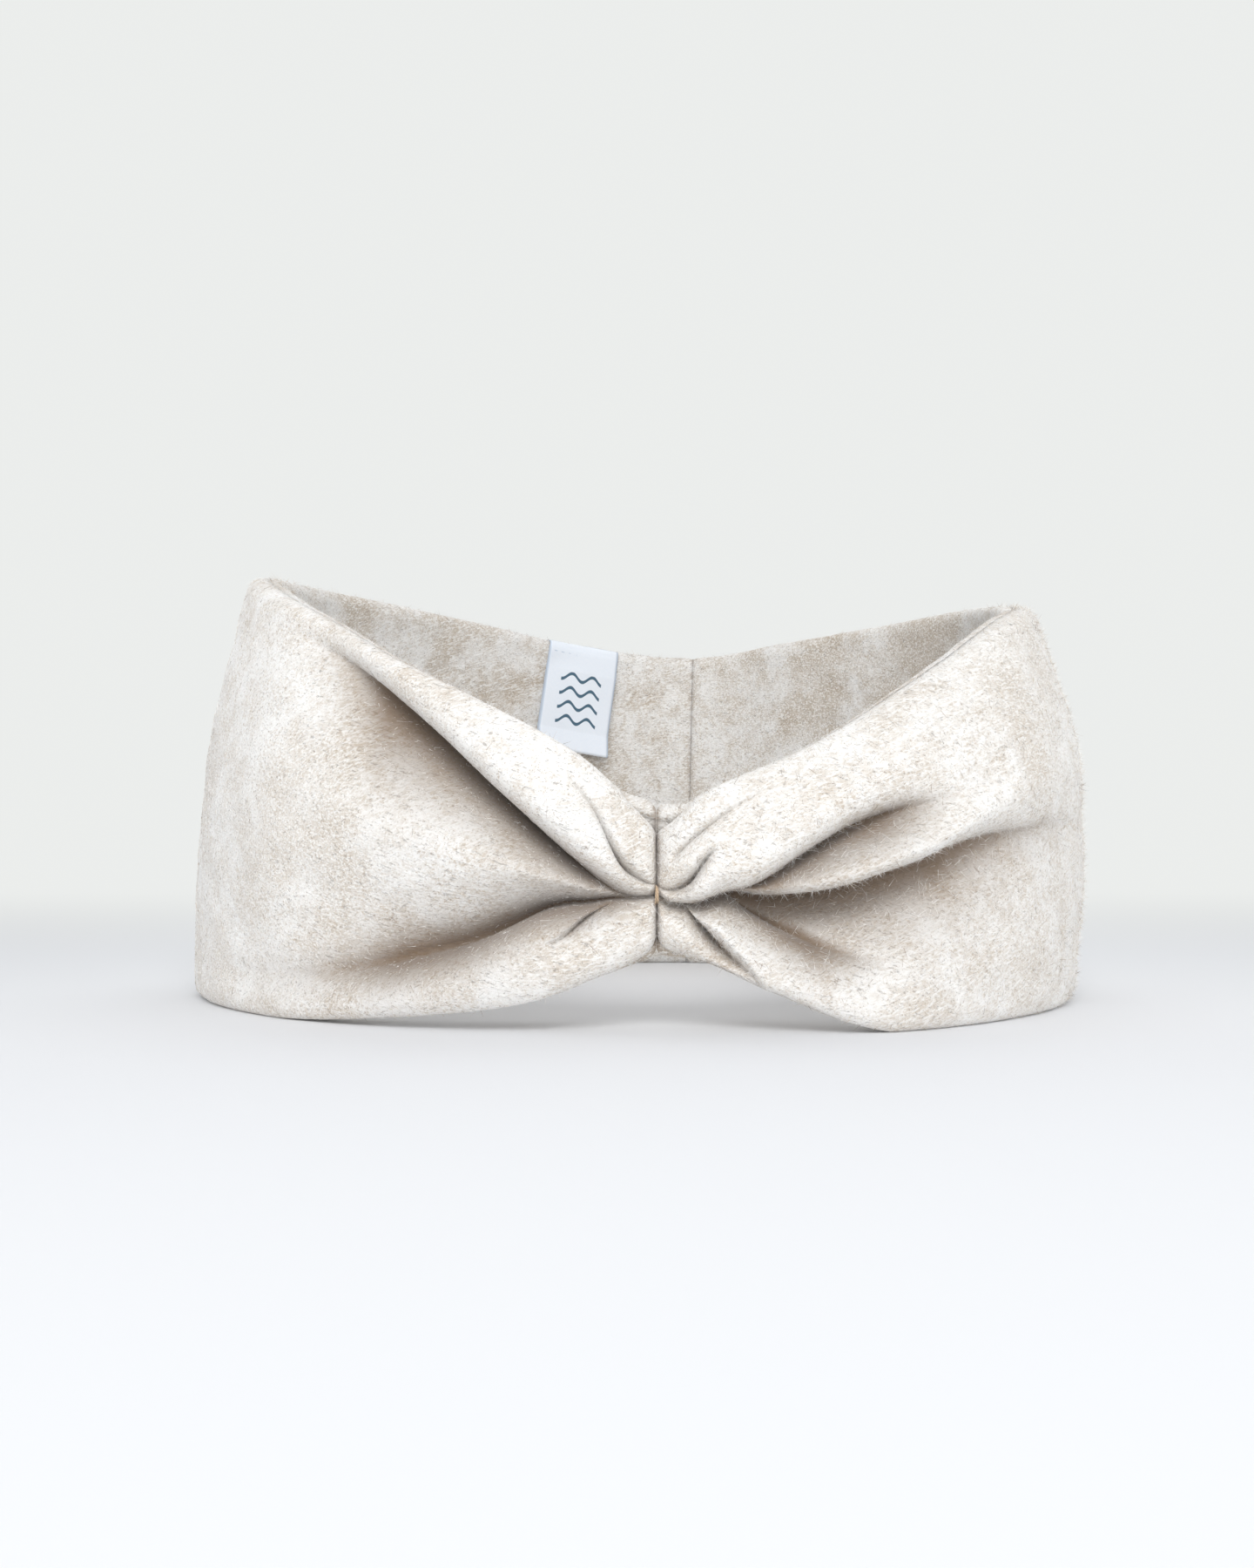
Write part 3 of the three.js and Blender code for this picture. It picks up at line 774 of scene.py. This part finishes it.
def satin_material():
    """Pale woven satin with a plain motif of waves; its coordinates are centimetres of ribbon."""
    made, tree, shader = material("pale_satin", 0.42)
    uv = add(tree, "ShaderNodeUVMap").outputs["UV"]
    parts = add(tree, "ShaderNodeSeparateXYZ")
    tree.links.new(uv, parts.inputs["Vector"])
    x, y = parts.outputs["X"], parts.outputs["Y"]
    wave = math_node(tree, "MULTIPLY", math_node(tree, "SINE", math_node(tree, "MULTIPLY", x, 9.7)), 0.10)
    row = math_node(tree, "PINGPONG", math_node(tree, "ADD", math_node(tree, "ADD", y, wave), 0.21), 0.21)
    line = math_node(tree, "SUBTRACT", 1.0, ramp(tree, row, 0.040, 0.058))
    for value, low, high in ((x, 0.46, 1.74), (y, 0.90, 2.46)):
        line = math_node(tree, "MULTIPLY", line, ramp(tree, value, low, low + 0.02))
        line = math_node(tree, "MULTIPLY", line,
                         math_node(tree, "SUBTRACT", 1.0, ramp(tree, value, high, high + 0.02)))
    weft = add(tree, "ShaderNodeTexWave")
    weft.bands_direction = "Y"
    weft.inputs["Scale"].default_value = 14
    weft.inputs["Distortion"].default_value = 0.6
    weft.inputs["Detail Scale"].default_value = 12
    tree.links.new(uv, weft.inputs["Vector"])
    warp = add(tree, "ShaderNodeTexWave")
    warp.bands_direction = "X"
    warp.inputs["Scale"].default_value = 10
    tree.links.new(uv, warp.inputs["Vector"])
    weave = math_node(tree, "ADD", weft.outputs["Fac"], math_node(tree, "MULTIPLY", warp.outputs["Fac"], 0.5))
    slub = noise(tree, uv, 14, 3, 0.5)
    base = mix(tree, slub, (0.84, 0.89, 0.95), (0.92, 0.94, 0.97))
    base = mix(tree, weave, base, (0.46, 0.56, 0.72), 0.22)
    selvedge = math_node(tree, "SUBTRACT", 1.0, ramp(tree, math_node(tree, "PINGPONG", x, 1.1), 0.03, 0.07))
    base = mix(tree, selvedge, base, (0.42, 0.54, 0.70), 0.5)
    base = mix(tree, line, base, (0.02, 0.09, 0.15), 0.96)
    tree.links.new(base, shader.inputs["Base Color"])
    bump = add(tree, "ShaderNodeBump")
    bump.inputs["Strength"].default_value = 0.55
    bump.inputs["Distance"].default_value = 0.05 * MM
    tree.links.new(weave, bump.inputs["Height"])
    tree.links.new(bump.outputs["Normal"], shader.inputs["Normal"])
    shader.inputs["Sheen Weight"].default_value = 0.2
    shader.inputs["Anisotropic"].default_value = 0.4
    return made


label_piece = ribbon()
label_piece.data.materials.append(satin_material())
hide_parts("label")
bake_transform(label_piece)

# a row of small stitches holds the ribbon to the lining just above the hinge
STITCHES = 9
STITCH_PITCH = 2.25 * MM
STITCH_DROP = 3.0 * MM
STITCH_REACH = 0.36  # half a stitch, as a share of the pitch
bm = bmesh.new()
for index in range(STITCHES):
    ends = []
    for tip in (-STITCH_REACH, -0.3, -0.2, 0.0, 0.2, 0.3, STITCH_REACH):
        u = (index - (STITCHES - 1) / 2 + tip) * STITCH_PITCH
        sink = 0.45 * MM * (abs(tip) / STITCH_REACH) ** 3
        ends.append(on_label(u, STITCH_DROP, wall_behind(u, STITCH_DROP) + 1.12 * MM - sink))
    tube(bm, ends, 0.16 * MM, 6)
stitches = finished("label_sewing", bm)
stitches.data.materials.append(thread_material("label_thread", (0.74, 0.80, 0.88), (0.50, 0.58, 0.70), 1200))
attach(stitches, "band")
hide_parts("label_stitches")

# ---------------------------------------------------------------- loose fibres

FIBRES = 44000
LINING_SHARE = 0.7  # of as many fibres on the lining


def spike():
    """A closed three-sided spike of unit length and radius, which becomes every fibre."""
    bm = bmesh.new()
    bmesh.ops.create_cone(bm, cap_ends=True, cap_tris=False, segments=3, radius1=1, radius2=0, depth=1)
    bmesh.ops.remove_doubles(bm, verts=bm.verts, dist=1e-4)
    bmesh.ops.recalc_face_normals(bm, faces=bm.faces)
    corners = np.array([v.co[:] for v in bm.verts]) + (0, 0, 0.5)
    faces = [[v.index for v in face.verts] for face in bm.faces]
    bm.free()
    return corners, np.array(faces)


def fibre_material():
    made, tree, shader = material("wool_fibre", 0.9)
    tint = add(tree, "ShaderNodeAttribute")
    tint.attribute_name = "tint"
    base = mix(tree, ramp(tree, tint.outputs["Fac"], 0.66, 0.70), (0.90, 0.885, 0.86), (0.62, 0.54, 0.44))
    base = mix(tree, ramp(tree, tint.outputs["Fac"], 0.90, 0.91), base, (0.30, 0.27, 0.25))
    base = mix(tree, ramp(tree, tint.outputs["Fac"], 0.965, 0.97), base, (0.24, 0.15, 0.09))
    tree.links.new(base, shader.inputs["Base Color"])
    shader.inputs["Sheen Weight"].default_value = 0.3
    shader.inputs["Specular IOR Level"].default_value = 0.15
    return made


def loose_fibres(name, panel, seed, count):
    """Fibres that lie on and stand off the skin of a ply."""
    draw = np.random.default_rng(seed)
    mesh = panel.data
    co = np.empty(len(mesh.vertices) * 3)
    mesh.vertices.foreach_get("co", co)
    co = co.reshape(-1, 3)
    quads = [face.vertices[:] for face in mesh.polygons if len(face.vertices) == 4]
    quads = np.array(quads)
    corners = co[quads]
    normals = np.cross(corners[:, 2] - corners[:, 0], corners[:, 3] - corners[:, 1])
    areas = np.linalg.norm(normals, axis=1) / 2 + 1e-15
    normals /= (2 * areas)[:, None]
    on_skin = quad_marks(panel, quads, "skin").min(axis=1) > 0.5
    # fewer fibres where the painted crease shade lies
    in_fold = quad_marks(panel, quads, "fold").mean(axis=1)
    weight = areas * on_skin * (1 - 0.8 * np.clip(in_fold, 0, 1))
    picks = draw.choice(len(quads), size=count, p=weight / weight.sum())
    a, b = draw.random(count)[:, None], draw.random(count)[:, None]
    chosen = corners[picks]
    base = ((chosen[:, 0] * (1 - a) + chosen[:, 1] * a) * (1 - b)
            + (chosen[:, 3] * (1 - a) + chosen[:, 2] * a) * b)
    normal = normals[picks]
    lean = draw.normal(size=(count, 3))
    lean -= normal * (lean * normal).sum(axis=1)[:, None]
    lean /= np.linalg.norm(lean, axis=1)[:, None]
    steep = np.where(draw.random(count) < 0.5, draw.uniform(0.03, 0.22, count), draw.uniform(0.3, 1.6, count))
    direction = lean + normal * steep[:, None]
    direction /= np.linalg.norm(direction, axis=1)[:, None]
    length = draw.uniform(0.9, 3.3, count) * MM * np.where(steep > 0.24, 0.7, 1.0)
    thick = draw.uniform(0.022, 0.05, count) * MM
    first = np.cross(direction, normal)
    first /= np.linalg.norm(first, axis=1)[:, None]
    second = np.cross(direction, first)
    shape, faces = spike()
    points = (base[:, None] - normal[:, None] * 0.04 * MM
              + shape[None, :, 0:1] * (first * thick[:, None])[:, None]
              + shape[None, :, 1:2] * (second * thick[:, None])[:, None]
              + shape[None, :, 2:3] * (direction * length[:, None])[:, None])
    points[:, :, 2] = np.maximum(points[:, :, 2], 0.02 * MM)
    index = faces[None] + (np.arange(count) * len(shape))[:, None, None]
    made = bpy.data.meshes.new(name)
    made.from_pydata(points.reshape(-1, 3), [], index.reshape(-1, 3))
    tint = made.attributes.new("tint", "FLOAT", "POINT")
    tint.data.foreach_set("value", np.repeat(draw.random(count), len(shape)).astype(np.float32))
    thing = bpy.data.objects.new(name, made)
    bpy.context.scene.collection.objects.link(thing)
    return thing


def quad_marks(panel, quads, name):
    """A panel's own vertex values, such as skin or fold (the painted crease shade), at the corners of its
    faces.
    """
    marks = np.empty(len(panel.data.vertices), np.float32)
    panel.data.attributes[name].data.foreach_get("value", marks)
    return marks[quads]


fibre_wool = fibre_material()
for index, (node, panel) in enumerate(panels.items()):
    outer = node.startswith("outer")
    coat = loose_fibres("fibres_" + node, panel, 40 + index, FIBRES if outer else int(FIBRES * LINING_SHARE))
    coat.data.materials.append(fibre_wool)
    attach(coat, "band")

# ---------------------------------------------------------------- stage


def area_light(name, place, aim, size, power):
    """A rectangular softbox; size in metres, power in watts."""
    light = bpy.data.lights.new(name, "AREA")
    light.shape = "RECTANGLE"
    light.size, light.size_y = size
    light.energy = power
    lamp = bpy.data.objects.new(name, light)
    lamp.location = place
    lamp.rotation_euler = (Vector(aim) - Vector(place)).to_track_quat("-Z", "Y").to_euler()
    bpy.context.scene.collection.objects.link(lamp)


def seamless_floor():
    """A floor that sweeps up into a backdrop, which glows softly so that no horizon shows."""
    bm = bmesh.new()
    bmesh.ops.create_grid(bm, x_segments=2, y_segments=80, size=1)
    start, bend, length = 1.4, 1.2, 7.5
    for vert in bm.verts:
        run = (vert.co.y + 1) / 2 * length - 1.6
        vert.co.x *= 4.0
        angle = min(max(run - start, 0) / bend, math.pi / 2)
        rise = max(0, run - start - bend * math.pi / 2)
        vert.co.y = min(run, start) + bend * math.sin(angle)
        vert.co.z = bend * (1 - math.cos(angle)) + rise
    for face in bm.faces:
        face.smooth = True
    floor = new_object("floor", bm)
    made, tree, shader = material("floor_paper", 0.8)
    shader.inputs["Base Color"].default_value = (0.86, 0.87, 0.89, 1)
    shader.inputs["Specular IOR Level"].default_value = 0.1
    glow = add(tree, "ShaderNodeEmission")
    glow.inputs["Color"].default_value = (0.835, 0.85, 0.838, 1)
    here = add(tree, "ShaderNodeTexCoord").outputs["Object"]
    parts = add(tree, "ShaderNodeSeparateXYZ")
    tree.links.new(here, parts.inputs["Vector"])
    blend = add(tree, "ShaderNodeMixShader")
    far = math_node(tree, "DIVIDE", 0.42, math_node(tree, "ADD", parts.outputs["Y"], 0.32))
    tree.links.new(ramp(tree, math_node(tree, "SUBTRACT", 1.0, far), -0.05, 0.8), blend.inputs["Fac"])
    tree.links.new(shader.outputs["BSDF"], blend.inputs[1])
    tree.links.new(glow.outputs["Emission"], blend.inputs[2])
    output = tree.nodes["Material Output"]
    tree.links.new(blend.outputs["Shader"], output.inputs["Surface"])
    floor.data.materials.append(made)


def studio():
    seamless_floor()
    world = bpy.data.worlds.new("studio")
    world.use_nodes = True
    world.node_tree.nodes["Background"].inputs["Color"].default_value = (0.95, 0.97, 1.0, 1)
    world.node_tree.nodes["Background"].inputs["Strength"].default_value = 0.5
    bpy.context.scene.world = world
    area_light("key_softbox", (0.02, -0.78, 0.60), (0, 0, 0.03), (0.55, 0.4), 4.1)
    area_light("top_softbox", (0.1, 0.25, 0.9), (0, 0, 0.0), (0.6, 0.5), 1.3)
    area_light("low_fill", (0.05, -1.1, 0.16), (0, 0, 0.04), (0.9, 0.3), 3.4)


def viewing_camera():
    """A level camera in front of the gather, with its frame shifted up instead of tilted."""
    camera = bpy.data.cameras.new("camera")
    camera.sensor_width = 36
    camera.lens = 28.84
    camera.shift_y = 98 / 1800
    camera.clip_start = 0.01
    eye = bpy.data.objects.new("camera", camera)
    eye.location = (-3.0 * MM, -306.5 * MM, 29 * MM)
    eye.rotation_euler = (math.pi / 2, 0, 0)
    bpy.context.scene.collection.objects.link(eye)
    bpy.context.scene.camera = eye


studio()
viewing_camera()
bpy.context.scene.view_settings.view_transform = "Standard"
